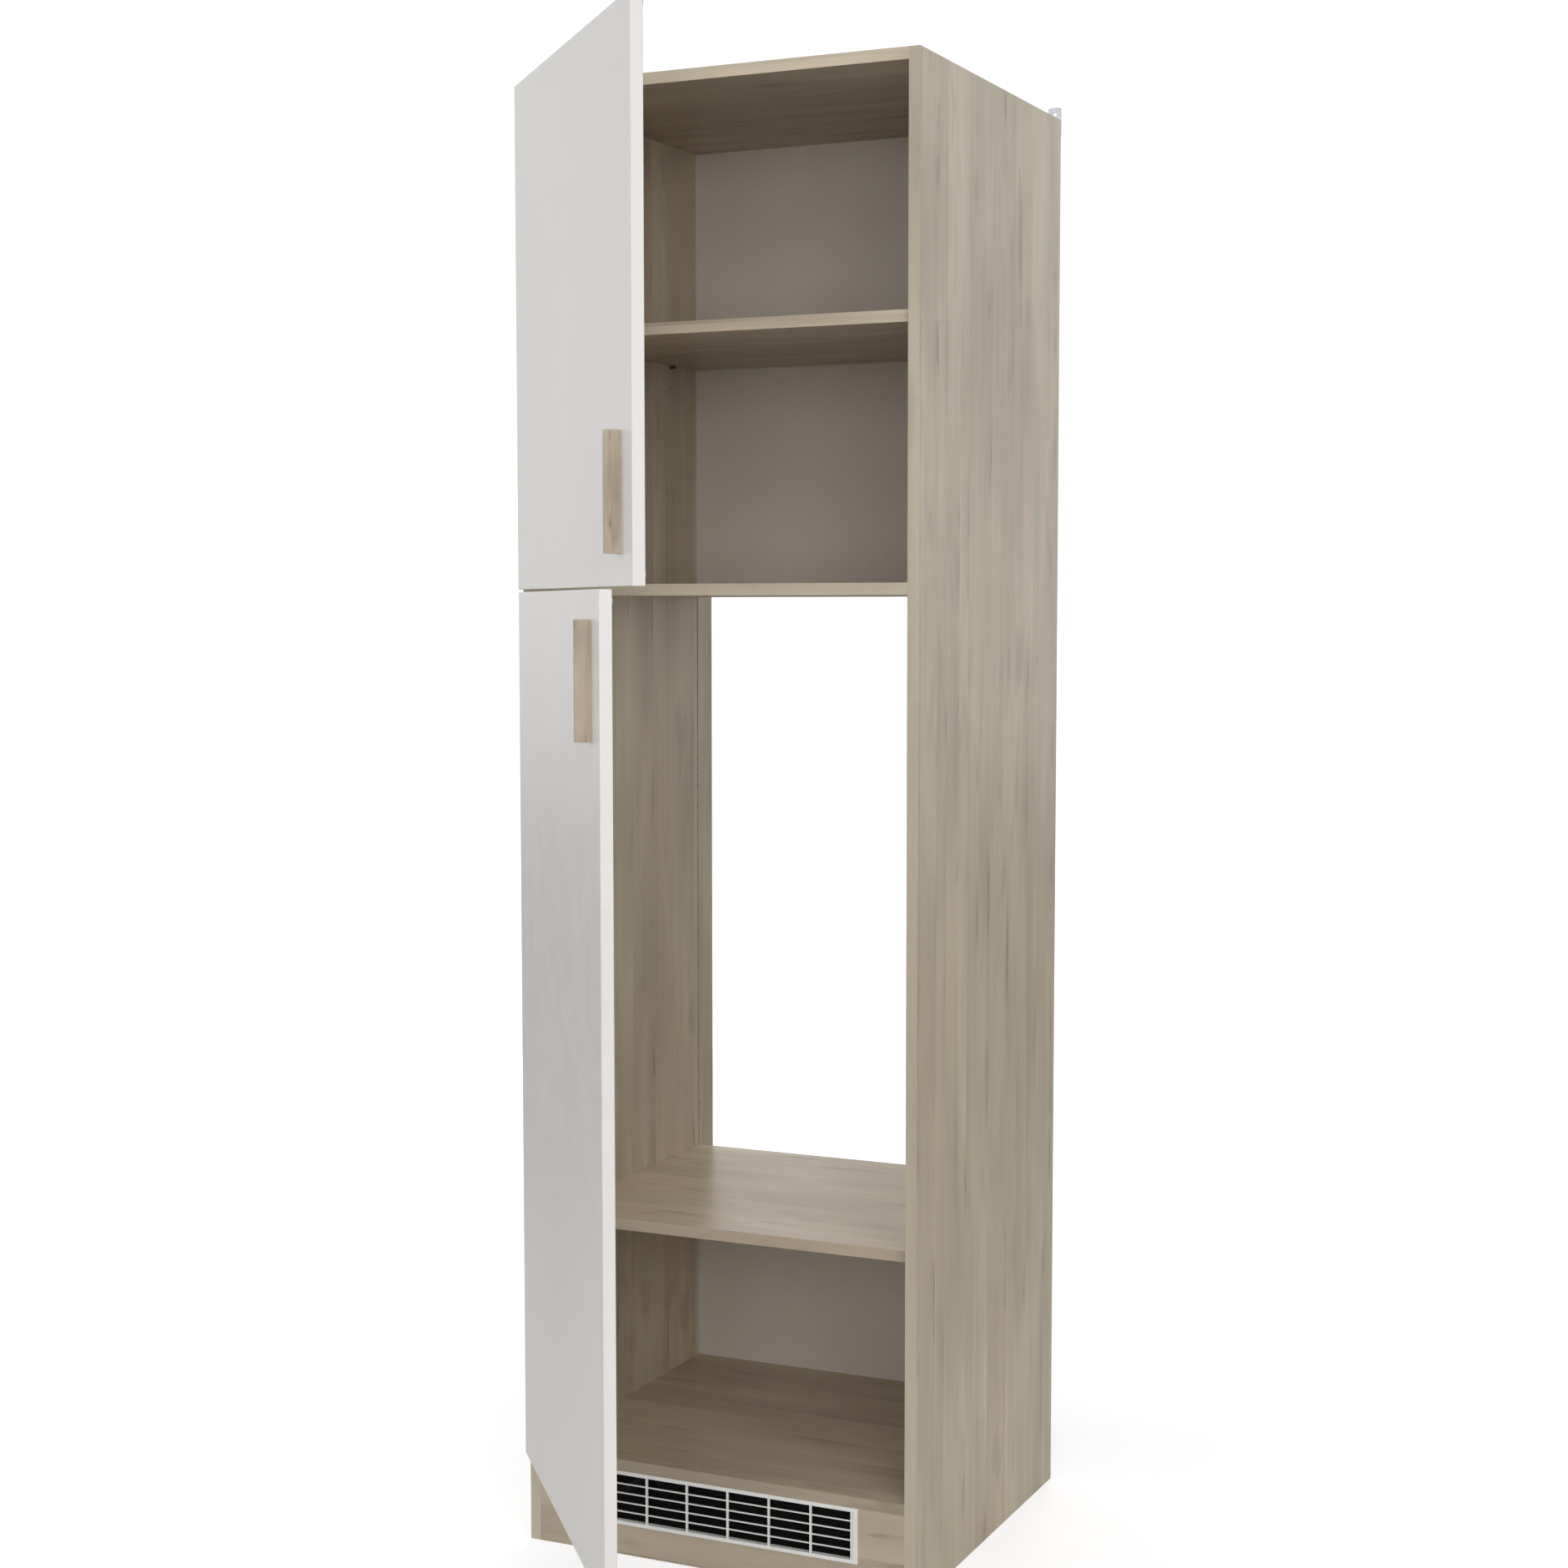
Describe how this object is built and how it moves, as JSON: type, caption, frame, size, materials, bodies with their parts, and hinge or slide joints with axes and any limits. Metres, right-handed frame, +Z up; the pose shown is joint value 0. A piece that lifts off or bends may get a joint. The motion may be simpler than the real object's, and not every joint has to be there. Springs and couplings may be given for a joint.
{
  "type": "fridge housing unit",
  "caption": "Tall wood-grain kitchen housing for a built-in fridge: top cupboard with loose shelf, open niche, bottom compartment, vented plinth and two white doors hinged at the left.",
  "frame": {"origin": "on the floor, at the front lower edge of the plinth board, in the middle of the width", "axes": "+X to the right seen from the front, +Y towards the wall, +Z up"},
  "size_m": [0.6013, 1.0305, 2.089],
  "materials": {
    "wood_laminate_upright": "satin wood-grain laminate, grain upright",
    "wood_laminate_level": "satin wood-grain laminate, grain along the width",
    "wood_edge_band": "satin wood-grain edge band",
    "grey_back_board": "matt light grey faced fibreboard",
    "white_door": "satin white faced board",
    "wood_handle": "satin wood-grain block",
    "white_plastic": "satin white",
    "black_mesh": "matt black mesh",
    "dowel_wood": "bare beech",
    "zinc_casting": "die-cast",
    "zinc_plate": "zinc plated",
    "nickel_steel": "nickel plated",
    "clear_bumper": "translucent soft"
  },
  "bodies": {
    "carcass": {"side_panel_left": "wood_laminate_upright", "side_panel_right": "wood_laminate_upright", "top_panel": "wood_laminate_level", "middle_panel": "wood_laminate_level", "fridge_shelf": "wood_laminate_level", "base_panel": "wood_laminate_level", "adjustable_shelf": "wood_laminate_level", "plinth_board": "wood_laminate_level", "back_panel_upper": "grey_back_board", "back_panel_lower": "grey_back_board", "edge_band_side_left": "wood_edge_band", "edge_band_side_right": "wood_edge_band", "edge_band_top": "wood_edge_band", "edge_band_middle": "wood_edge_band", "edge_band_fridge_shelf": "wood_edge_band", "edge_band_base": "wood_edge_band", "edge_band_adjustable_shelf": "wood_edge_band", "plinth_grille": "white_plastic", "grille_fly_screen": "black_mesh", "shelf_pins": "nickel_steel", "cam_bolts": "nickel_steel", "cam_housings": "zinc_casting", "wood_dowels": "dowel_wood", "plinth_dowels": "dowel_wood", "wall_bracket_left": "zinc_plate", "wall_bracket_right": "zinc_plate", "wall_bracket_screws": "nickel_steel", "hinge_plates_upper": "nickel_steel", "hinge_plates_lower": "nickel_steel", "hinge_plate_screws": "nickel_steel", "hinge_arms_upper": "nickel_steel", "hinge_arms_lower": "nickel_steel", "hinge_arm_screws": "nickel_steel"},
    "upper_door": {"upper_door_panel": "white_door", "upper_handle": "wood_handle", "upper_handle_screws": "nickel_steel", "hinge_cups_upper": "nickel_steel", "hinge_cup_screws_upper": "nickel_steel", "hinge_pins_upper": "nickel_steel", "door_bumpers_upper": "clear_bumper"},
    "lower_door": {"lower_door_panel": "white_door", "lower_handle": "wood_handle", "lower_handle_screws": "nickel_steel", "hinge_cups_lower": "nickel_steel", "hinge_cup_screws_lower": "nickel_steel", "hinge_pins_lower": "nickel_steel", "door_bumpers_lower": "clear_bumper"}
  },
  "joints": [
    {"name": "upper_door_hinge", "type": "hinge", "parent": "carcass", "child": "upper_door", "pos_m": [-0.2914, -0.0105, 1.719], "axis": [0, 0, -1], "range_deg": [-46, 59]},
    {"name": "lower_door_hinge", "type": "hinge", "parent": "carcass", "child": "lower_door", "pos_m": [-0.2914, -0.0105, 0.749], "axis": [0, 0, -1], "range_deg": [-50, 55]}
  ]
}
